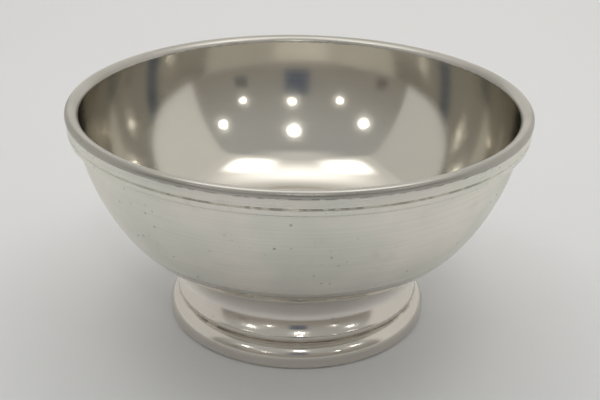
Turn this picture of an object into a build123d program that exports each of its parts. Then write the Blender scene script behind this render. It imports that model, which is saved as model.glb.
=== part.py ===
from build123d import *
import math
import os

# Footed shaving bowl in pewter: a spun bowl with an applied rim band and rim bead,
# soldered to a hollow spool foot that stands on a moulded base ring.
# Every piece is a body of revolution about +Z, and Z = 0 is the surface it stands on.
# Sizes are in millimetres. Outlines are drawn in the XZ plane, where X is the radius.

# Bowl: a ball-shaped side, a tighter knuckle below it and a nearly flat bottom
height = 63.9
wall = 1.4
side_radius = 61.5
side_centre_z = 66.7
knuckle_radius = 27.7
knuckle_start = 36.0      # degrees below the horizontal, where the side ends
knuckle_end = 84.0        # degrees below the horizontal, where the dished bottom begins

# Rim: a bead caps the flush top edges of the bowl's sheet and the band. Its outer side is
# round, and its inner side is a wider curve that runs down to the inside of the bowl.
seat_z = 62.2
bead_radius = 1.27
bead_outer_radius = 63.5

# Band: a flat strip with one incised line and a rounded lower edge
band_radius = 63.15
band_line_z = 59.5
band_line_depth = 0.35
band_line_width = 0.6
band_lower_radius = 62.35
band_bottom_z = 57.5
band_edge_break = 0.2

# Neck: a seam of solder round the joint, and a fillet of it inside the foot
neck_z = 19.0
neck_top_radius = 34.9
seam_hollow = 0.12        # share of the seam's width by which its face is hollow
fillet_width = 1.0

# Spool: the foot's concave side, and the small roll at its lower edge
foot_wall = 1.5
waist_radius = 32.2
waist_z = 14.6
cove_radius = 8.1
cove_end = 44.0           # degrees above the horizontal that the cove's lower end faces
roll_radius = 1.45
spool_bottom_z = 6.57
spool_inner_end = 35.0    # degrees, as cove_end, where the inside turns straight down
spool_inner_radius = 32.5

# Base ring: a rounded shoulder and a short upright edge
base_radius = 37.2
base_edge_z = 2.4
shoulder_radius = 4.45
base_rounding = 1.0
base_inner_radius = 33.4


def circle_point(centre, radius, degrees):
    """Point on a circle, at an angle measured downwards from the outward direction."""
    angle = math.radians(degrees)
    return (centre[0] + radius * math.cos(angle), centre[1] - radius * math.sin(angle))


def circle_arc(centre, radius, start, end):
    """Arc of a circle between two such angles."""
    stops = (start, (start + end) / 2, end)
    return ThreePointArc(*[circle_point(centre, radius, stop) for stop in stops])


def angle_at_z(centre, radius, z):
    """Angle at which the circle's outer side passes through a height."""
    return math.degrees(math.asin((centre[1] - z) / radius))


def angle_at_radius(centre, radius, r):
    """Angle at which the circle's lower side passes through a radius from the axis."""
    return math.degrees(math.acos((r - centre[0]) / radius))


def turned(name, outline):
    """Solid of revolution of a closed outline, saved as one piece."""
    edges = [edge for line in outline for edge in line.edges()]
    solid = revolve(Plane.XZ * make_face(edges), Axis.Z)
    solid.label = name
    export_step(solid, f"parts/{name}.step")


# The knuckle is tangent to the side, and the dish is a ball on the axis tangent to the
# knuckle. The inside is the same three stretches, one wall thickness in.
side_centre = (0.0, side_centre_z)
side_end = circle_point(side_centre, side_radius, knuckle_start)
to_knuckle_centre = circle_point((0.0, 0.0), knuckle_radius, knuckle_start)
knuckle_centre = (side_end[0] - to_knuckle_centre[0], side_end[1] - to_knuckle_centre[1])
knuckle_stop = circle_point(knuckle_centre, knuckle_radius, knuckle_end)
dish_radius = knuckle_stop[0] / math.cos(math.radians(knuckle_end))
dish_centre = (0.0, knuckle_stop[1] + dish_radius * math.sin(math.radians(knuckle_end)))


def bowl_side(inset):
    """The bowl's outline from rim to axis, at a depth inside its outer surface."""
    rim_angle = angle_at_z(side_centre, side_radius - inset, seat_z)
    return [
        circle_arc(side_centre, side_radius - inset, rim_angle, knuckle_start),
        circle_arc(knuckle_centre, knuckle_radius - inset, knuckle_start, knuckle_end),
        circle_arc(dish_centre, dish_radius - inset, knuckle_end, 90.0),
    ]


def bowl_body():
    outside = bowl_side(0.0)
    inside = bowl_side(wall)
    at_axis = Line(outside[-1] @ 1, inside[-1] @ 1)
    at_rim = Line(outside[0] @ 0, inside[0] @ 0)
    turned("bowl_body", outside + inside + [at_axis, at_rim])


def rim_bead():
    centre = (bead_outer_radius - bead_radius, height - bead_radius)
    foot_angle = angle_at_z(centre, bead_radius, seat_z)
    outer_side = circle_arc(centre, bead_radius, foot_angle, -90.0)
    inner_radius = side_radius - wall
    rim_angle = angle_at_z(side_centre, inner_radius, seat_z)
    inner_corner = circle_point(side_centre, inner_radius, rim_angle)
    inward = centre[0] - inner_corner[0]
    drop = height - seat_z
    swell_radius = (inward**2 + drop**2) / (2 * drop)
    swell_centre = (centre[0], height - swell_radius)
    swell_end = -180.0 - angle_at_z(swell_centre, swell_radius, seat_z)
    inner_side = circle_arc(swell_centre, swell_radius, -90.0, swell_end)
    seat = Line(inner_side @ 1, outer_side @ 0)
    turned("rim_bead", [outer_side, inner_side, seat])


def rim_band():
    top_angle = angle_at_z(side_centre, side_radius, seat_z)
    bottom_angle = angle_at_z(side_centre, side_radius, band_bottom_z)
    against_bowl = circle_arc(side_centre, side_radius, top_angle, bottom_angle)
    line_top = (band_radius, band_line_z + band_line_width / 2)
    line_bottom = (band_radius, band_line_z - band_line_width / 2)
    lower_corner = (band_lower_radius, band_bottom_z)
    bulge = (0.75 * band_radius + 0.25 * band_lower_radius, (line_bottom[1] + band_bottom_z) / 2)
    face = Polyline(
        against_bowl @ 0,
        (band_radius - band_edge_break, seat_z),
        (band_radius, seat_z - band_edge_break),
        line_top,
        (band_radius - band_line_depth, band_line_z),
        line_bottom,
    )
    lower_edge = ThreePointArc(line_bottom, bulge, lower_corner)
    underside = Line(lower_corner, against_bowl @ 1)
    turned("rim_band", [against_bowl, face, lower_edge, underside])


def cove_arc(inset, lower_end):
    """The foot's concave side from neck to base, at a depth inside its outer surface."""
    centre = (waist_radius + cove_radius, waist_z)
    radius = cove_radius + inset
    top = 180.0 + math.degrees(math.asin((neck_z - waist_z) / radius))
    return circle_arc(centre, radius, top, 180.0 - lower_end)


def underside_arc(outer, inner):
    """Stretch of the knuckle's outside between two radii from the axis."""
    start = angle_at_radius(knuckle_centre, knuckle_radius, outer)
    end = angle_at_radius(knuckle_centre, knuckle_radius, inner)
    return circle_arc(knuckle_centre, knuckle_radius, start, end)


def neck_solder():
    outer_foot = cove_arc(0.0, cove_end) @ 0
    inner_foot = cove_arc(foot_wall, spool_inner_end) @ 0
    under_bowl = underside_arc(neck_top_radius, inner_foot.X)
    chord = under_bowl @ 0 - outer_foot
    hollow = outer_foot + chord / 2 + Vector(-chord.Y, chord.X) * seam_hollow
    outer = ThreePointArc(outer_foot, hollow, under_bowl @ 0)
    inner = Line(under_bowl @ 1, inner_foot)
    seat = Line(inner_foot, outer_foot)
    turned("neck_solder", [outer, under_bowl, inner, seat])


def inner_solder():
    corner = cove_arc(foot_wall, spool_inner_end) @ 0
    under_bowl = underside_arc(corner.X, corner.X - fillet_width)
    against_neck = Line(corner, under_bowl @ 0)
    face = Line(under_bowl @ 1, corner)
    turned("inner_solder", [against_neck, under_bowl, face])


def foot_spool():
    cove = cove_arc(0.0, cove_end)
    inside = cove_arc(foot_wall, spool_inner_end)
    to_roll_centre = circle_point((0.0, 0.0), roll_radius, -cove_end)
    cove_foot = cove @ 1
    roll_centre = (cove_foot.X - to_roll_centre[0], cove_foot.Y - to_roll_centre[1])
    roll_end = angle_at_z(roll_centre, roll_radius, spool_bottom_z)
    roll = circle_arc(roll_centre, roll_radius, -cove_end, roll_end)
    top = Line(cove @ 0, inside @ 0)
    seat = Polyline(roll @ 1, (spool_inner_radius, spool_bottom_z), inside @ 1)
    turned("foot_spool", [cove, roll, seat, inside, top])


def base_ring():
    centre = (base_radius - shoulder_radius, base_edge_z)
    shoulder_start = angle_at_z(centre, shoulder_radius, spool_bottom_z)
    shoulder = circle_arc(centre, shoulder_radius, shoulder_start, 0.0)
    corner_centre = (base_radius - base_rounding, base_rounding)
    corner = circle_arc(corner_centre, base_rounding, 0.0, 90.0)
    edge = Line(shoulder @ 1, corner @ 0)
    inner_corner = (spool_inner_radius, spool_bottom_z)
    underside = Polyline(corner @ 1, (base_inner_radius, 0.0), inner_corner, shoulder @ 0)
    turned("base_ring", [shoulder, edge, corner, underside])


os.makedirs("parts", exist_ok=True)
bowl_body()
rim_bead()
rim_band()
neck_solder()
inner_solder()
foot_spool()
base_ring()
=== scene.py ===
import math
import bmesh
import bpy
from mathutils import Matrix, Vector


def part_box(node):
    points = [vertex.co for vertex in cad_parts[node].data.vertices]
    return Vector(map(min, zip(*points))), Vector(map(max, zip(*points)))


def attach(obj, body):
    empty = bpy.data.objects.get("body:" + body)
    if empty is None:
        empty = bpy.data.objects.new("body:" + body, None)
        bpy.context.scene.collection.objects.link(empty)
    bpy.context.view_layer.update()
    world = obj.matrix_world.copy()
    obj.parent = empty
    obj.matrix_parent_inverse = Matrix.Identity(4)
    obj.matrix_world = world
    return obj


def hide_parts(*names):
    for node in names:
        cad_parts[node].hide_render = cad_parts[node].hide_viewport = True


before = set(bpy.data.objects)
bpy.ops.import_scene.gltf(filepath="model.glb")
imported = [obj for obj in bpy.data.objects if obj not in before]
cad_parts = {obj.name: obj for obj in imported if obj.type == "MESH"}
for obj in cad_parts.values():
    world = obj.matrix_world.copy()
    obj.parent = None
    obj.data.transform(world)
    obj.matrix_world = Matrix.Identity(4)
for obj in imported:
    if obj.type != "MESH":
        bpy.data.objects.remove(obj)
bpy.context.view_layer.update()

millimetre = 0.001    # outlines are drawn in millimetres, meshes are in metres
samePlace = 1e-6      # points closer than this are one point
nearAxis = 1e-5       # metres: the least radius that a direction is worked out from


# An outline is a list of points (radius, height). Angles are in degrees, measured
# downwards from the outward direction.

def circlePoint(centre, radius, degrees):
    angle = math.radians(degrees)
    return (centre[0] + radius * math.cos(angle), centre[1] - radius * math.sin(angle))


def arcPoints(centre, radius, start, end, count):
    # count + 1 points along an arc
    return [circlePoint(centre, radius, start + (end - start) * i / count) for i in range(count + 1)]


def angleAtHeight(centre, radius, z):
    return math.degrees(math.asin((centre[1] - z) / radius))


def angleAtRadius(centre, radius, r):
    return math.degrees(math.acos((r - centre[0]) / radius))


def softCorner(start, control, end, count):
    # a short rounded stretch, whose middle lies halfway towards a control point
    corners = (start, control, end)
    points = []
    for i in range(count + 1):
        t = i / count
        weights = ((1 - t) ** 2, 2 * t * (1 - t), t ** 2)
        points.append(tuple(sum(weight * corner[axis] for weight, corner in zip(weights, corners))
                            for axis in (0, 1)))
    return points


def joinOutline(*stretches):
    # one closed outline, with each shared corner kept once
    points = []
    for stretch in stretches:
        for point in stretch:
            if not points or math.dist(point, points[-1]) > samePlace:
                points.append(point)
    if math.dist(points[0], points[-1]) < samePlace:
        points.pop()
    return points


def link(tree, fromNode, fromSocket, toNode, toSocket):
    tree.links.new(fromNode.outputs[fromSocket], toNode.inputs[toSocket])


def mathNode(tree, operation, *values):
    node = tree.nodes.new("ShaderNodeMath")
    node.operation = operation
    for index, value in enumerate(values):
        if isinstance(value, (int, float)):
            node.inputs[index].default_value = value
        else:
            tree.links.new(value, node.inputs[index])
    return node.outputs[0]


# The lathe turns a closed outline, given as the points of a mesh, about the Z axis.

turning = {
    "turnSteps": 288,
    "outOfRound": 0.0010,    # share of the radius
    "rippleSize": 0.040,     # metres
    "rippleDetail": 1.0,
    "seed": 7,
    "sharpAngle": 32,        # degrees, above which an edge stays crisp
}
secondMark = "secondFinish"    # attribute: 1 where a piece has its second finish


def turnedPoint(tree, radius, height, cosine, sine):
    node = tree.nodes.new("ShaderNodeCombineXYZ")
    tree.links.new(mathNode(tree, "MULTIPLY", radius, cosine), node.inputs["X"])
    tree.links.new(mathNode(tree, "MULTIPLY", radius, sine), node.inputs["Y"])
    tree.links.new(height, node.inputs["Z"])
    return node


def markNode(tree):
    node = tree.nodes.new("GeometryNodeInputNamedAttribute")
    node.data_type = "FLOAT"
    node.inputs["Name"].default_value = secondMark
    return node


def outlineSample(tree, given, dataType, source, place):
    # reads a value at one of the outline's points
    node = tree.nodes.new("GeometryNodeSampleIndex")
    node.data_type = dataType
    link(tree, given, "Outline", node, "Geometry")
    tree.links.new(source, node.inputs["Value"])
    tree.links.new(place, node.inputs["Index"])
    return node


def latheTree():
    tree = bpy.data.node_groups.new("latheTurning", "GeometryNodeTree")
    face = tree.interface
    face.new_socket("Outline", in_out="INPUT", socket_type="NodeSocketGeometry")
    for name, kind, value in (
        ("Turn Steps", "NodeSocketInt", turning["turnSteps"]),
        ("Out Of Round", "NodeSocketFloat", turning["outOfRound"]),
        ("Ripple Size", "NodeSocketFloat", turning["rippleSize"]),
        ("Seed", "NodeSocketInt", turning["seed"]),
        ("First Finish", "NodeSocketMaterial", None),
        ("Second Finish", "NodeSocketMaterial", None),
    ):
        socket = face.new_socket(name, in_out="INPUT", socket_type=kind)
        if value is not None:
            socket.default_value = value
    face.new_socket("Turned", in_out="OUTPUT", socket_type="NodeSocketGeometry")
    new = tree.nodes.new
    given = new("NodeGroupInput")
    result = new("NodeGroupOutput")
    turnSteps = given.outputs["Turn Steps"]

    # a grid with one row for each outline point and one column for each step of the turn
    size = new("GeometryNodeAttributeDomainSize")
    link(tree, given, "Outline", size, "Geometry")
    pointCount = size.outputs["Point Count"]
    perRing = mathNode(tree, "ADD", pointCount, 1)
    grid = new("GeometryNodeMeshGrid")
    tree.links.new(mathNode(tree, "ADD", turnSteps, 1), grid.inputs["Vertices X"])
    tree.links.new(perRing, grid.inputs["Vertices Y"])

    # which ring and which outline point each grid point stands for; the half keeps the
    # division clear of whole numbers
    index = new("GeometryNodeInputIndex").outputs[0]
    ring = mathNode(tree, "FLOOR", mathNode(tree, "DIVIDE", mathNode(tree, "ADD", index, 0.5), perRing))
    place = mathNode(tree, "SUBTRACT", index, mathNode(tree, "MULTIPLY", ring, perRing))
    place = mathNode(tree, "MODULO", place, pointCount)
    position = new("GeometryNodeInputPosition").outputs[0]
    outlinePoint = new("ShaderNodeSeparateXYZ")
    link(tree, outlineSample(tree, given, "FLOAT_VECTOR", position, place), "Value", outlinePoint, 0)
    radius = outlinePoint.outputs["X"]
    height = outlinePoint.outputs["Z"]
    turn = mathNode(tree, "DIVIDE", mathNode(tree, "MODULO", ring, turnSteps), turnSteps)
    angle = mathNode(tree, "MULTIPLY", turn, 2 * math.pi)
    cosine = mathNode(tree, "COSINE", angle)
    sine = mathNode(tree, "SINE", angle)

    # a slow ripple makes the metal slightly out of round, always inwards
    ripple = new("ShaderNodeTexNoise")
    ripple.noise_dimensions = "4D"
    ripple.inputs["Detail"].default_value = turning["rippleDetail"]
    link(tree, turnedPoint(tree, radius, height, cosine, sine), 0, ripple, "Vector")
    tree.links.new(mathNode(tree, "DIVIDE", 1.0, given.outputs["Ripple Size"]), ripple.inputs["Scale"])
    tree.links.new(given.outputs["Seed"], ripple.inputs["W"])
    shrink = mathNode(tree, "MULTIPLY", ripple.outputs["Fac"], given.outputs["Out Of Round"])
    worn = mathNode(tree, "MULTIPLY", radius, mathNode(tree, "SUBTRACT", 1.0, shrink))
    moved = new("GeometryNodeSetPosition")
    link(tree, grid, "Mesh", moved, "Geometry")
    link(tree, turnedPoint(tree, worn, height, cosine, sine), 0, moved, "Position")

    # the outline's mark for the second finish goes onto the turned surface
    marked = new("GeometryNodeStoreNamedAttribute")
    marked.data_type = "FLOAT"
    marked.domain = "POINT"
    marked.inputs["Name"].default_value = secondMark
    link(tree, moved, 0, marked, "Geometry")
    mark = markNode(tree).outputs["Attribute"]
    link(tree, outlineSample(tree, given, "FLOAT", mark, place), "Value", marked, "Value")

    closed = new("GeometryNodeMergeByDistance")
    closed.inputs["Distance"].default_value = samePlace
    link(tree, marked, 0, closed, "Geometry")
    smooth = new("GeometryNodeSetShadeSmooth")
    link(tree, closed, 0, smooth, 0)
    real = new("GeometryNodeRealizeInstances")
    link(tree, smooth, 0, real, 0)
    firstPaint = new("GeometryNodeSetMaterial")
    link(tree, real, 0, firstPaint, "Geometry")
    link(tree, given, "First Finish", firstPaint, "Material")
    isSecond = mathNode(tree, "GREATER_THAN", markNode(tree).outputs["Attribute"], 0.5)
    secondPaint = new("GeometryNodeSetMaterial")
    link(tree, firstPaint, 0, secondPaint, "Geometry")
    tree.links.new(isSecond, secondPaint.inputs["Selection"])
    link(tree, given, "Second Finish", secondPaint, "Material")
    link(tree, secondPaint, 0, result, 0)
    return tree


latheGroup = latheTree()


def setInput(modifier, name, value):
    for item in modifier.node_group.interface.items_tree:
        if item.item_type == "SOCKET" and item.in_out == "INPUT" and item.name == name:
            modifier[item.identifier] = value


def turnPiece(name, node, outline, finish, secondFinish=None, secondFrom=None):
    # secondFrom is the number of outline points before the second finish begins
    mesh = bpy.data.meshes.new(name + "Outline")
    mesh.from_pydata([(r * millimetre, 0, z * millimetre) for r, z in outline], [], [])
    mark = mesh.attributes.new(secondMark, "FLOAT", "POINT")
    for i in range(len(outline)):
        mark.data[i].value = 1.0 if secondFrom is not None and i >= secondFrom else 0.0
    source = bpy.data.objects.new(name + "Outline", mesh)
    bpy.context.scene.collection.objects.link(source)
    modifier = source.modifiers.new("lathe", "NODES")
    modifier.node_group = latheGroup
    setInput(modifier, "Turn Steps", turning["turnSteps"])
    setInput(modifier, "Out Of Round", turning["outOfRound"])
    setInput(modifier, "Ripple Size", turning["rippleSize"])
    setInput(modifier, "Seed", turning["seed"])
    setInput(modifier, "First Finish", finish)
    setInput(modifier, "Second Finish", secondFinish or finish)
    bpy.context.view_layer.update()
    evaluated = source.evaluated_get(bpy.context.evaluated_depsgraph_get())
    solid = bpy.data.meshes.new_from_object(evaluated)
    solid.name = name
    bpy.data.objects.remove(source)

    work = bmesh.new()
    work.from_mesh(solid)
    bmesh.ops.remove_doubles(work, verts=work.verts, dist=samePlace)
    bmesh.ops.recalc_face_normals(work, faces=work.faces)
    openEdges = sum(1 for edge in work.edges if len(edge.link_faces) != 2)
    work.to_mesh(solid)
    work.free()
    solid.set_sharp_from_angle(angle=math.radians(turning["sharpAngle"]))
    piece = bpy.data.objects.new(name, solid)
    bpy.context.scene.collection.objects.link(piece)
    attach(piece, "root")
    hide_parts(node)
    print(name, "turned:", len(solid.polygons), "faces,", openEdges, "open edges")


# Nodes that the finishes share.

def noiseNode(tree, vector, scale, detail, w=None):
    node = tree.nodes.new("ShaderNodeTexNoise")
    node.inputs["Scale"].default_value = scale
    node.inputs["Detail"].default_value = detail
    if w is not None:
        node.noise_dimensions = "4D"
        tree.links.new(w, node.inputs["W"])
    tree.links.new(vector, node.inputs["Vector"])
    return node.outputs["Fac"]


def shiftedNoise(tree, vector, shift, scale, detail):
    # noise read from another place, so that two patterns don't line up
    mapping = tree.nodes.new("ShaderNodeMapping")
    mapping.inputs["Location"].default_value = shift
    tree.links.new(vector, mapping.inputs["Vector"])
    return noiseNode(tree, mapping.outputs[0], scale, detail)


def rangeNode(tree, value, fromLow, fromHigh, toLow=0.0, toHigh=1.0):
    node = tree.nodes.new("ShaderNodeMapRange")
    node.interpolation_type = "SMOOTHSTEP"
    tree.links.new(value, node.inputs["Value"])
    node.inputs["From Min"].default_value = fromLow
    node.inputs["From Max"].default_value = fromHigh
    node.inputs["To Min"].default_value = toLow
    node.inputs["To Max"].default_value = toHigh
    return node.outputs["Result"]


def mixColour(tree, factor, first, second):
    node = tree.nodes.new("ShaderNodeMix")
    node.data_type = "RGBA"
    tree.links.new(factor, node.inputs["Factor"])
    for socket, value in ((node.inputs[6], first), (node.inputs[7], second)):
        if isinstance(value, tuple):
            socket.default_value = (*value, 1)
        else:
            tree.links.new(value, socket)
    return node.outputs[2]


# Wear and groove darkening (on the foot partly painted shade), the same on every finish. A shift says where
# a noise is read, a detail how many layers it has, and a patch or range between which of its values a thing
# comes in.
wear = {
    "lineDetail": 3.0, "tintRange": (0.35, 0.65), "lineRoughRange": (0.4, 0.6),
    "cloudDetail": 3.0, "cloudRange": (0.30, 0.70),
    "smearShift": (3.1, 1.7, 0.4), "smearDetail": 4.0, "smearRange": (0.30, 0.70),
    "smearFineness": 2.6,     # times the clouds' scale
    "hairShift": (0.7, 5.3, 2.9), "hairDetail": 1.5, "hairPatch": (0.50, 0.62),
    "pitCore": 0.04, "pitPatch": (0.44, 0.60),
    "spotPatch": (0.62, 0.80),
    "crumbShift": (8.2, 0.3, 4.4), "crumbScale": 420.0, "crumbDetail": 3.0, "crumbPatch": (0.42, 0.60),
    "stretchShift": (2.2, 6.1, 0.9), "stretchScale": 38.0, "stretchDetail": 2.0,
    "stretchPatch": (0.40, 0.62), "stretchLeast": 0.30,
    "grooveCore": 0.35,       # share of a groove's reach that is fully dark
    "darkRoughness": 0.35,    # added where tarnished spots, pits and groove darkening (on the foot partly painted shade) darken the colour
}


def turningLines(tree, x, y, z, radius, look):
    # marks of the lathe run round the axis: fine across, long along
    safeRadius = mathNode(tree, "MAXIMUM", radius, nearAxis)
    vector = tree.nodes.new("ShaderNodeCombineXYZ")
    tree.links.new(mathNode(tree, "MULTIPLY", radius, look["linesPerMetre"]), vector.inputs["X"])
    for part, socket in ((x, "Y"), (y, "Z")):
        direction = mathNode(tree, "DIVIDE", part, safeRadius)
        tree.links.new(mathNode(tree, "MULTIPLY", direction, look["lineBreaks"]), vector.inputs[socket])
    along = mathNode(tree, "MULTIPLY", z, look["linesPerMetre"])
    return noiseNode(tree, vector.outputs[0], 1.0, wear["lineDetail"], along)


def hairlines(tree, coordinates, smears, look):
    # scratches follow the middle value of a noise, in patches
    hair = shiftedNoise(tree, coordinates, wear["hairShift"], look["scratchScale"], wear["hairDetail"])
    hair = mathNode(tree, "ABSOLUTE", mathNode(tree, "SUBTRACT", hair, 0.5))
    hair = rangeNode(tree, hair, 0.0, look["scratchWidth"], 1.0, 0.0)
    return mathNode(tree, "MULTIPLY", hair, rangeNode(tree, smears, *wear["hairPatch"]))


def pitMarks(tree, coordinates, clouds, look):
    # some of the cells hold a pit, of uneven depth, in patches
    cells = tree.nodes.new("ShaderNodeTexVoronoi")
    cells.inputs["Scale"].default_value = look["pitScale"]
    tree.links.new(coordinates, cells.inputs["Vector"])
    pit = rangeNode(tree, cells.outputs["Distance"], wear["pitCore"], look["pitSize"], 1.0, 0.0)
    chance = tree.nodes.new("ShaderNodeSeparateColor")
    tree.links.new(cells.outputs["Color"], chance.inputs[0])
    chosen = mathNode(tree, "LESS_THAN", chance.outputs[0], look["pitShare"])
    chosen = mathNode(tree, "MULTIPLY", chosen, rangeNode(tree, clouds, *wear["pitPatch"]))
    return mathNode(tree, "MULTIPLY", pit, mathNode(tree, "MULTIPLY", chance.outputs[1], chosen))


def tarnishAndShadeMarks(tree, coordinates, z, smears, look):
    # faint tarnished spots anywhere, and crumbly dark lines at the listed heights: crud in joints and the
    # incised line, and painted shade in the foot's crease above the base ring and along its bottom edge on
    # the floor
    tarnishAndShade = rangeNode(tree, smears, *wear["spotPatch"], 0.0, look["tarnishSpots"])
    crumbs = shiftedNoise(tree, coordinates, wear["crumbShift"], wear["crumbScale"], wear["crumbDetail"])
    crumbs = rangeNode(tree, crumbs, *wear["crumbPatch"])
    stretchScale, stretchDetail = wear["stretchScale"], wear["stretchDetail"]
    stretches = shiftedNoise(tree, coordinates, wear["stretchShift"], stretchScale, stretchDetail)
    stretches = rangeNode(tree, stretches, *wear["stretchPatch"], wear["stretchLeast"], 1.0)
    crumbs = mathNode(tree, "MULTIPLY", crumbs, stretches)
    for height, reach, strength in look["grooveDirtAndShade"]:
        far = reach * millimetre
        away = mathNode(tree, "ABSOLUTE", mathNode(tree, "SUBTRACT", z, height * millimetre))
        near = rangeNode(tree, away, far * wear["grooveCore"], far, strength, 0.0)
        tarnishAndShade = mathNode(tree, "MAXIMUM", tarnishAndShade, mathNode(tree, "MULTIPLY", near, crumbs))
    return tarnishAndShade


def pewterFinish(name, look):
    material = bpy.data.materials.new(name)
    material.use_nodes = True
    tree = material.node_tree
    shader = tree.nodes["Principled BSDF"]
    shader.inputs["Metallic"].default_value = 1.0
    coordinates = tree.nodes.new("ShaderNodeTexCoord").outputs["Object"]
    parts = tree.nodes.new("ShaderNodeSeparateXYZ")
    tree.links.new(coordinates, parts.inputs[0])
    x, y, z = parts.outputs
    squares = (mathNode(tree, "MULTIPLY", x, x), mathNode(tree, "MULTIPLY", y, y))
    radius = mathNode(tree, "SQRT", mathNode(tree, "ADD", *squares))

    lines = turningLines(tree, x, y, z, radius, look)
    clouds = noiseNode(tree, coordinates, look["cloudScale"], wear["cloudDetail"])
    smearScale = look["cloudScale"] * wear["smearFineness"]
    smears = shiftedNoise(tree, coordinates, wear["smearShift"], smearScale, wear["smearDetail"])
    scratches = hairlines(tree, coordinates, smears, look)
    pits = pitMarks(tree, coordinates, clouds, look)
    tarnishAndShade = tarnishAndShadeMarks(tree, coordinates, z, smears, look)
    dark = mathNode(tree, "MAXIMUM", tarnishAndShade, mathNode(tree, "MULTIPLY", pits, look["pitDark"]))

    cloudShare = rangeNode(tree, clouds, *wear["cloudRange"])
    colour = mixColour(tree, cloudShare, look["colour"], look["colourOther"])
    lineTint = rangeNode(tree, lines, *wear["tintRange"], look["lineTint"], 0.0)
    colour = mixColour(tree, lineTint, colour, look["lineColour"])
    # darkens the colour at spots, pits and groove lines; on the foot the lines at the crease and bottom edge
    # are painted shade
    colour = mixColour(tree, dark, colour, look["tarnishAndShadeColour"])
    tree.links.new(colour, shader.inputs["Base Color"])

    rough = rangeNode(tree, smears, *wear["smearRange"], *look["roughness"])
    lineRough = rangeNode(tree, lines, *wear["lineRoughRange"])
    lineRough = mathNode(tree, "MULTIPLY", lineRough, look["lineRough"])
    rough = mathNode(tree, "ADD", rough, lineRough)
    rough = mathNode(tree, "ADD", rough, mathNode(tree, "MULTIPLY", dark, wear["darkRoughness"]))
    tree.links.new(rough, shader.inputs["Roughness"])

    # heights are in millimetres
    lift = mathNode(tree, "MULTIPLY", lines, look["lineHeight"])
    lift = mathNode(tree, "SUBTRACT", lift, mathNode(tree, "MULTIPLY", scratches, look["scratchDepth"]))
    lift = mathNode(tree, "SUBTRACT", lift, mathNode(tree, "MULTIPLY", pits, look["pitDepth"]))
    lift = mathNode(tree, "ADD", lift, mathNode(tree, "MULTIPLY", smears, look["waveHeight"]))
    bump = tree.nodes.new("ShaderNodeBump")
    bump.inputs["Distance"].default_value = millimetre
    tree.links.new(lift, bump.inputs["Height"])
    tree.links.new(bump.outputs[0], shader.inputs["Normal"])
    return material


# Heights, depths and groove sizes are in millimetres, scales are per metre. A groove is
# (height above the table, reach, strength of its darkening, which is crud in joints and painted shade at the
# foot's crease and bottom edge).
satinLook = {
    "colour": (0.92, 0.87, 0.80), "colourOther": (0.77, 0.775, 0.70),
    "lineColour": (0.52, 0.51, 0.46), "lineTint": 0.14, "linesPerMetre": 2600.0, "lineBreaks": 1.6,
    "lineHeight": 0.0010, "lineRough": 0.05, "roughness": (0.30, 0.42),
    "cloudScale": 34.0, "scratchScale": 90.0, "scratchWidth": 0.006, "scratchDepth": 0.0015,
    "pitScale": 520.0, "pitSize": 0.30, "pitShare": 0.26, "pitDepth": 0.03, "pitDark": 0.75,
    "waveHeight": 0.05, "tarnishSpots": 0.10, "tarnishAndShadeColour": (0.17, 0.15, 0.14),
    "grooveDirtAndShade": [(57.3, 0.5, 0.55)],
}
bandLook = {
    **satinLook, "grooveDirtAndShade": [(59.5, 0.40, 0.42), (57.5, 0.40, 0.36), (62.1, 0.35, 0.45)],
    "roughness": (0.24, 0.34), "pitShare": 0.20, "tarnishSpots": 0.22,
}
mirrorLook = {
    **satinLook, "colour": (0.70, 0.675, 0.61), "colourOther": (0.66, 0.635, 0.575),
    "lineTint": 0.05, "lineHeight": 0.00012, "lineRough": 0.02, "roughness": (0.085, 0.125),
    "cloudScale": 22.0, "scratchDepth": 0.0006, "scratchWidth": 0.004, "waveHeight": 0.006,
    "pitShare": 0.02, "pitDepth": 0.004, "pitDark": 0.25, "tarnishSpots": 0.03,
    "grooveDirtAndShade": [(62.2, 0.35, 0.3)],
}
beadLook = {
    **satinLook, "colour": (0.50, 0.480, 0.445), "colourOther": (0.42, 0.41, 0.375),
    "roughness": (0.26, 0.34), "lineHeight": 0.0006, "lineTint": 0.10, "pitShare": 0.10,
    "pitDepth": 0.02, "grooveDirtAndShade": [(62.2, 0.3, 0.5)],
}
footLook = {
    **satinLook, "colour": (0.76, 0.72, 0.665), "colourOther": (0.69, 0.655, 0.605),
    "lineTint": 0.10, "lineHeight": 0.00035, "lineRough": 0.03, "roughness": (0.12, 0.18),
    "waveHeight": 0.02, "pitShare": 0.05, "pitDepth": 0.01, "pitDark": 0.35,
    # the lines at 6.6 and 0.2 mm are painted shade, in the crease where the spool meets the base ring and
    # along the bottom edge on the floor; the one at 19.3 darkens the solder joint at the neck
    "tarnishSpots": 0.08, "grooveDirtAndShade": [(6.6, 0.50, 0.38), (0.2, 0.5, 0.45), (19.3, 0.6, 0.12)],
}
solderLook = {
    **footLook, "colour": (0.58, 0.57, 0.54), "colourOther": (0.47, 0.465, 0.45),
    "roughness": (0.20, 0.36), "waveHeight": 0.10, "tarnishSpots": 0.4,
}
satinPewter = pewterFinish("satinPewter", satinLook)
bandPewter = pewterFinish("bandPewter", bandLook)
mirrorPewter = pewterFinish("mirrorPewter", mirrorLook)
beadPewter = pewterFinish("beadPewter", beadLook)
footPewter = pewterFinish("footPewter", footLook)
solderMetal = pewterFinish("solderMetal", solderLook)
print("finishes made")


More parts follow.
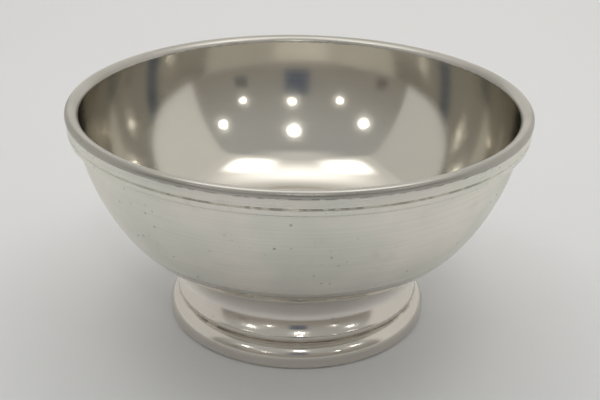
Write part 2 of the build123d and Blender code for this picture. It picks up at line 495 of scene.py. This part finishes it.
# Spun bowl: a ball-shaped side, a tighter knuckle and a nearly flat bottom.
spunBowl = {
    "seatHeight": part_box("bowl_body")[1].z / millimetre,
    "sideRadius": 61.5, "sideCentreHeight": 66.7, "wall": 1.4,
    "knuckleRadius": 27.7, "knuckleStart": 36.0, "knuckleEnd": 84.0,
    "sideSteps": 90, "knuckleSteps": 48, "bottomSteps": 24,
}
sideCentre = (0.0, spunBowl["sideCentreHeight"])
sideEnd = circlePoint(sideCentre, spunBowl["sideRadius"], spunBowl["knuckleStart"])
knuckleOffset = circlePoint((0.0, 0.0), spunBowl["knuckleRadius"], spunBowl["knuckleStart"])
knuckleCentre = (sideEnd[0] - knuckleOffset[0], sideEnd[1] - knuckleOffset[1])
knuckleStop = circlePoint(knuckleCentre, spunBowl["knuckleRadius"], spunBowl["knuckleEnd"])
bottomRadius = knuckleStop[0] / math.cos(math.radians(spunBowl["knuckleEnd"]))
bottomCentre = (0.0, knuckleStop[1] + bottomRadius * math.sin(math.radians(spunBowl["knuckleEnd"])))


def bowlWall(inset):
    # rim to axis, at a depth inside the outer face
    radius = spunBowl["sideRadius"] - inset
    rim = angleAtHeight(sideCentre, radius, spunBowl["seatHeight"])
    start, end = spunBowl["knuckleStart"], spunBowl["knuckleEnd"]
    return joinOutline(
        arcPoints(sideCentre, radius, rim, start, spunBowl["sideSteps"]),
        arcPoints(knuckleCentre, spunBowl["knuckleRadius"] - inset, start, end, spunBowl["knuckleSteps"]),
        arcPoints(bottomCentre, bottomRadius - inset, end, 90.0, spunBowl["bottomSteps"]),
    )


# the side is satin outside; the underside and the whole inside are polished
outerWall = bowlWall(0.0)
innerWall = bowlWall(spunBowl["wall"])
turnPiece("spunBowl", "bowl_body", joinOutline(outerWall, innerWall[::-1]),
          satinPewter, mirrorPewter, spunBowl["sideSteps"] + 1)


# Rim bead: round outside, and a wider curve down to the inside of the bowl.
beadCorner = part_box("rim_bead")[1]
rimBead = {
    "outerRadius": beadCorner.x / millimetre, "top": beadCorner.z / millimetre,
    "radius": 1.27, "steps": 30,
}
beadCentre = (rimBead["outerRadius"] - rimBead["radius"], rimBead["top"] - rimBead["radius"])
beadFoot = angleAtHeight(beadCentre, rimBead["radius"], spunBowl["seatHeight"])
inward = beadCentre[0] - innerWall[0][0]
drop = rimBead["top"] - spunBowl["seatHeight"]
swellRadius = (inward ** 2 + drop ** 2) / (2 * drop)
swellCentre = (beadCentre[0], rimBead["top"] - swellRadius)
swellEnd = -180.0 - angleAtHeight(swellCentre, swellRadius, spunBowl["seatHeight"])
turnPiece("rimBead", "rim_bead", joinOutline(
    arcPoints(beadCentre, rimBead["radius"], beadFoot, -90.0, rimBead["steps"]),
    arcPoints(swellCentre, swellRadius, -90.0, swellEnd, rimBead["steps"]),
), beadPewter)


# Rim band: a strip with one incised line and a rounded lower edge.
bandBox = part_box("rim_band")
rimBand = {
    "radius": bandBox[1].x / millimetre, "bottom": bandBox[0].z / millimetre, "lowerRadius": 62.35,
    "lineHeight": 59.5, "lineDepth": 0.35, "lineWidth": 0.6, "edgeBreak": 0.2,
    "steps": 8, "edgeSteps": 4,
}


def bandOutline():
    seat, radius, steps = spunBowl["seatHeight"], rimBand["radius"], rimBand["steps"]
    edgeBreak, lineHeight = rimBand["edgeBreak"], rimBand["lineHeight"]
    lineTop = (radius, lineHeight + rimBand["lineWidth"] / 2)
    lineBottom = (radius, lineHeight - rimBand["lineWidth"] / 2)
    lineControl = (radius - 2 * rimBand["lineDepth"], lineHeight)
    top = angleAtHeight(sideCentre, spunBowl["sideRadius"], seat)
    bottom = angleAtHeight(sideCentre, spunBowl["sideRadius"], rimBand["bottom"])
    upperEdge = ((radius - edgeBreak, seat), (radius, seat), (radius, seat - edgeBreak))
    lowerCorner = (rimBand["lowerRadius"], rimBand["bottom"])
    return joinOutline(
        arcPoints(sideCentre, spunBowl["sideRadius"], bottom, top, steps),
        softCorner(*upperEdge, rimBand["edgeSteps"]),
        softCorner(lineTop, lineControl, lineBottom, steps),
        softCorner(lineBottom, (radius, rimBand["bottom"]), lowerCorner, steps),
    )


turnPiece("rimBand", "rim_band", bandOutline(), bandPewter)


# Foot spool: a hollow concave foot with a small roll at its lower edge.
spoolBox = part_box("foot_spool")
footSpool = {
    "neck": spoolBox[1].z / millimetre, "seat": spoolBox[0].z / millimetre,
    "wall": 1.5, "waistRadius": 32.2, "waistHeight": 14.6, "coveRadius": 8.1, "coveEnd": 44.0,
    "rollRadius": 1.45, "innerEnd": 35.0, "innerRadius": 32.5, "steps": 44, "rollSteps": 20,
}
coveCentre = (footSpool["waistRadius"] + footSpool["coveRadius"], footSpool["waistHeight"])


def coveLine(inset, lowerEnd):
    # neck to base, at a depth inside the outer face
    radius = footSpool["coveRadius"] + inset
    top = 180.0 + math.degrees(math.asin((footSpool["neck"] - footSpool["waistHeight"]) / radius))
    return arcPoints(coveCentre, radius, top, 180.0 - lowerEnd, footSpool["steps"])


outerCove = coveLine(0.0, footSpool["coveEnd"])
innerCove = coveLine(footSpool["wall"], footSpool["innerEnd"])
neckOuter, neckInner = outerCove[0], innerCove[0]
rollOffset = circlePoint((0.0, 0.0), footSpool["rollRadius"], -footSpool["coveEnd"])
rollCentre = (outerCove[-1][0] - rollOffset[0], outerCove[-1][1] - rollOffset[1])
rollEnd = angleAtHeight(rollCentre, footSpool["rollRadius"], footSpool["seat"])
roll = arcPoints(rollCentre, footSpool["rollRadius"], -footSpool["coveEnd"], rollEnd, footSpool["rollSteps"])
innerFoot = (footSpool["innerRadius"], footSpool["seat"])
turnPiece("footSpool", "foot_spool",
          joinOutline(outerCove, roll, [innerFoot], innerCove[::-1]), footPewter)


def underBowl(outer, inner, steps):
    # stretch of the knuckle's underside between two radii
    start = angleAtRadius(knuckleCentre, spunBowl["knuckleRadius"], outer)
    end = angleAtRadius(knuckleCentre, spunBowl["knuckleRadius"], inner)
    return arcPoints(knuckleCentre, spunBowl["knuckleRadius"], start, end, steps)


# Neck solder: the seam between the spool's top and the bowl, with a slightly hollow face.
neckSolder = {"topRadius": 34.9, "hollow": 0.12, "steps": 8}    # hollow is a share of the seam's width
neckUnder = underBowl(neckSolder["topRadius"], neckInner[0], neckSolder["steps"])
neckChord = (neckUnder[0][0] - neckOuter[0], neckUnder[0][1] - neckOuter[1])
neckPull = 2 * neckSolder["hollow"]    # the curve goes halfway to its control point
neckControl = (neckOuter[0] + neckChord[0] / 2 - neckPull * neckChord[1],
               neckOuter[1] + neckChord[1] / 2 + neckPull * neckChord[0])
turnPiece("neckSolder", "neck_solder", joinOutline(
    softCorner(neckOuter, neckControl, neckUnder[0], neckSolder["steps"]), neckUnder, [neckInner],
), footPewter)


# Inner solder: a small fillet at the same joint, inside the foot.
innerSolder = {"width": 1.0, "steps": 8}
filletUnder = underBowl(neckInner[0], neckInner[0] - innerSolder["width"], innerSolder["steps"])
turnPiece("innerSolder", "inner_solder", joinOutline(filletUnder, [neckInner]), solderMetal)


# Base ring: a rounded shoulder and a short upright edge.
baseRing = {
    "radius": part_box("base_ring")[1].x / millimetre, "edgeHeight": 2.4, "shoulder": 4.45,
    "rounding": 1.0, "innerRadius": 33.4, "steps": 24, "roundingSteps": 12,
}


def baseOutline():
    radius, rounding = baseRing["radius"], baseRing["rounding"]
    shoulderCentre = (radius - baseRing["shoulder"], baseRing["edgeHeight"])
    start = angleAtHeight(shoulderCentre, baseRing["shoulder"], footSpool["seat"])
    return joinOutline(
        [innerFoot],
        arcPoints(shoulderCentre, baseRing["shoulder"], start, 0.0, baseRing["steps"]),
        arcPoints((radius - rounding, rounding), rounding, 0.0, 90.0, baseRing["roundingSteps"]),
        [(baseRing["innerRadius"], 0.0)],
    )


turnPiece("baseRing", "base_ring", baseOutline(), footPewter)


# The studio: a floor, a cloth light box that is open at the front, and the room beyond it.
# The camera sees only the floor, and the room's colour past its edges. The rest lights the
# pewter and is mirrored in it.

def addStage(name, corners, material, seen=False):
    mesh = bpy.data.meshes.new(name)
    mesh.from_pydata(corners, [], [tuple(range(len(corners)))])
    mesh.materials.append(material)
    plane = bpy.data.objects.new(name, mesh)
    bpy.context.scene.collection.objects.link(plane)
    plane.visible_camera = seen


def evenGlow(name, colour, strength):
    material = bpy.data.materials.new(name)
    material.use_nodes = True
    tree = material.node_tree
    tree.nodes.clear()
    emit = tree.nodes.new("ShaderNodeEmission")
    emit.inputs["Color"].default_value = (*colour, 1)
    emit.inputs["Strength"].default_value = strength
    surface = tree.nodes.new("ShaderNodeOutputMaterial")
    link(tree, emit, 0, surface, "Surface")
    return material


def softGlow(name, colour, strength, centre, half, softness):
    # fades to clear towards the edges of a rectangle
    material = evenGlow(name, colour, strength)
    tree = material.node_tree
    surface = next(node for node in tree.nodes if node.type == "OUTPUT_MATERIAL")
    emission = surface.inputs["Surface"].links[0].from_socket
    parts = tree.nodes.new("ShaderNodeSeparateXYZ")
    link(tree, tree.nodes.new("ShaderNodeTexCoord"), "Object", parts, 0)
    fades = []
    for axis in range(3):
        if half[axis]:
            away = mathNode(tree, "SUBTRACT", parts.outputs[axis], centre[axis])
            share = mathNode(tree, "DIVIDE", mathNode(tree, "ABSOLUTE", away), half[axis])
            fades.append(rangeNode(tree, share, 1.0 - softness, 1.0, 1.0, 0.0))
    clear = tree.nodes.new("ShaderNodeBsdfTransparent")
    mix = tree.nodes.new("ShaderNodeMixShader")
    tree.links.new(mathNode(tree, "MULTIPLY", *fades), mix.inputs[0])
    tree.links.new(clear.outputs[0], mix.inputs[1])
    tree.links.new(emission, mix.inputs[2])
    tree.links.new(mix.outputs[0], surface.inputs["Surface"])
    return material


def addPatch(name, centre, half, colour, strength, softness):
    # a soft-edged rectangle of light or shade: the axis with no half size is the way it faces
    first, second = [axis for axis in range(3) if half[axis]]
    corners = []
    for signFirst, signSecond in ((-1, -1), (1, -1), (1, 1), (-1, 1)):
        corner = list(centre)
        corner[first] += signFirst * half[first]
        corner[second] += signSecond * half[second]
        corners.append(corner)
    addStage(name, corners, softGlow(name, colour, strength, centre, half, softness))


paleFloor = {"half": 2.0, "colour": (0.80, 0.812, 0.835), "roughness": 0.6}
floorFinish = bpy.data.materials.new("paleFloor")
floorFinish.use_nodes = True
floorShader = floorFinish.node_tree.nodes["Principled BSDF"]
floorShader.inputs["Base Color"].default_value = (*paleFloor["colour"], 1)
floorShader.inputs["Roughness"].default_value = paleFloor["roughness"]
floorEdge = paleFloor["half"]
addStage("floor", [(-floorEdge, -floorEdge, 0), (floorEdge, -floorEdge, 0),
                   (floorEdge, floorEdge, 0), (-floorEdge, floorEdge, 0)], floorFinish, True)

# metres and emission strengths
lightBox = {
    "halfWidth": 0.28, "front": -0.100, "back": 0.50, "top": 0.43,
    "clothColour": (1.0, 0.975, 0.925), "hazeColour": (1.0, 0.985, 0.95), "panelColour": (1.0, 0.99, 0.97),
    "leftWall": 0.62, "rightWall": 0.70, "backWall": 0.92, "roof": 0.74,
    "layer": 0.001,    # gap between the things that hang under the roof
}
halfWidth, front, back, top = (lightBox[key] for key in ("halfWidth", "front", "back", "top"))
cloths = {
    "clothLeft": ([(-halfWidth, front, 0), (-halfWidth, back, 0), (-halfWidth, back, top),
                   (-halfWidth, front, top)], lightBox["leftWall"]),
    "clothRight": ([(halfWidth, front, 0), (halfWidth, back, 0), (halfWidth, back, top),
                    (halfWidth, front, top)], lightBox["rightWall"]),
    "clothBack": ([(-halfWidth, back, 0), (halfWidth, back, 0), (halfWidth, back, top),
                   (-halfWidth, back, top)], lightBox["backWall"]),
    "clothRoof": ([(-halfWidth, front, top), (halfWidth, front, top), (halfWidth, back, top),
                   (-halfWidth, back, top)], lightBox["roof"]),
}
for name, (corners, strength) in cloths.items():
    addStage(name, corners, evenGlow(name, lightBox["clothColour"], strength))

# centre, half size, colour, strength, softness and layer of each light patch under the roof
roofLights = {
    "roofHalo": ((0.0, 0.10), (0.24, 0.17), lightBox["hazeColour"], 1.9, 1.0, 1),
    "roofHaze": ((0.0, -0.115), (0.22, 0.075), lightBox["hazeColour"], 0.75, 1.0, 3),
    "roofPanelLeft": ((-0.135, 0.01), (0.100, 0.095), lightBox["panelColour"], 3.6, 0.8, 2),
    "roofPanelRight": ((0.135, 0.01), (0.100, 0.095), lightBox["panelColour"], 3.6, 0.8, 2),
}
for name, (middle, half, colour, strength, softness, layer) in roofLights.items():
    height = top - layer * lightBox["layer"]
    addPatch(name, (*middle, height), (*half, 0), colour, strength, softness)
print("light box made")

# two rows of three round lamps in the room's ceiling
ceilingLamps = {
    "height": 1.05, "radius": 0.038, "colour": (1.0, 0.97, 0.92), "strength": 66.0, "sides": 40,
    "farRow": ((1.399, -1.898), (0.173, -1.972), (-0.978, -2.028)),
    "nearRow": ((1.294, -0.912), (0.075, -1.020), (-1.105, -1.066)),
}
lampGlow = evenGlow("ceilingLamp", ceilingLamps["colour"], ceilingLamps["strength"])
for number, (lampX, lampY) in enumerate(ceilingLamps["farRow"] + ceilingLamps["nearRow"]):
    ringPoints = []
    for step in range(ceilingLamps["sides"]):
        angle = 2 * math.pi * step / ceilingLamps["sides"]
        ringPoints.append((lampX + ceilingLamps["radius"] * math.cos(angle),
                           lampY + ceilingLamps["radius"] * math.sin(angle), ceilingLamps["height"]))
    addStage(f"ceilingLamp{number}", ringPoints, lampGlow)

# dark things across the room: centre, half size, colour and softness
roomThings = {
    "tripodHead": ((0.012, -0.34, 0.160), (0.055, 0, 0.060), (0.10, 0.12, 0.16), 0.35),
    "cabinet": ((0.46, -0.62, 0.235), (0.075, 0, 0.050), (0.15, 0.16, 0.15), 0.40),
    "chair": ((-0.52, -0.42, 0.170), (0.08, 0, 0.050), (0.13, 0.12, 0.11), 0.60),
}
for name, (centre, half, colour, softness) in roomThings.items():
    addPatch(name, centre, half, colour, 1.0, softness)

# the room is brownish at eye level and paler towards the ceiling
roomWalls = {"low": (0.285, 0.262, 0.232), "high": (0.44, 0.445, 0.43), "from": 0.05, "to": 0.75}
room = bpy.data.worlds.new("room")
room.use_nodes = True
roomTree = room.node_tree
background = roomTree.nodes["Background"]
roomParts = roomTree.nodes.new("ShaderNodeSeparateXYZ")
link(roomTree, roomTree.nodes.new("ShaderNodeTexCoord"), "Generated", roomParts, 0)
ceilingShare = rangeNode(roomTree, roomParts.outputs["Z"], roomWalls["from"], roomWalls["to"])
roomColour = mixColour(roomTree, ceilingShare, roomWalls["low"], roomWalls["high"])
roomTree.links.new(roomColour, background.inputs["Color"])
bpy.context.scene.world = room
bpy.context.scene.view_settings.view_transform = "Standard"
print("room made")


# place and nearest are in metres, lens and sensor in millimetres, angles in radians
viewpoint = {
    "place": (0.0, -0.27466, 0.15942), "lens": 63.28, "sensor": 36.0, "nearest": 0.01,
    "pitch": 0.4315, "yaw": 0.0019, "roll": 0.0165,
}
cameraData = bpy.data.cameras.new("camera")
cameraData.lens = viewpoint["lens"]
cameraData.sensor_width = viewpoint["sensor"]
cameraData.clip_start = viewpoint["nearest"]
camera = bpy.data.objects.new("camera", cameraData)
bpy.context.scene.collection.objects.link(camera)
pitch, yaw, tilt = viewpoint["pitch"], viewpoint["yaw"], viewpoint["roll"]
forward = Vector((math.sin(yaw) * math.cos(pitch), math.cos(yaw) * math.cos(pitch), -math.sin(pitch)))
levelRight = forward.cross(Vector((0, 0, 1))).normalized()
levelUp = levelRight.cross(forward)
right = levelRight * math.cos(tilt) + levelUp * math.sin(tilt)
up = levelUp * math.cos(tilt) - levelRight * math.sin(tilt)
facing = Matrix((right, up, -forward)).transposed().to_4x4()
camera.matrix_world = Matrix.Translation(viewpoint["place"]) @ facing
bpy.context.scene.camera = camera
print("camera placed")
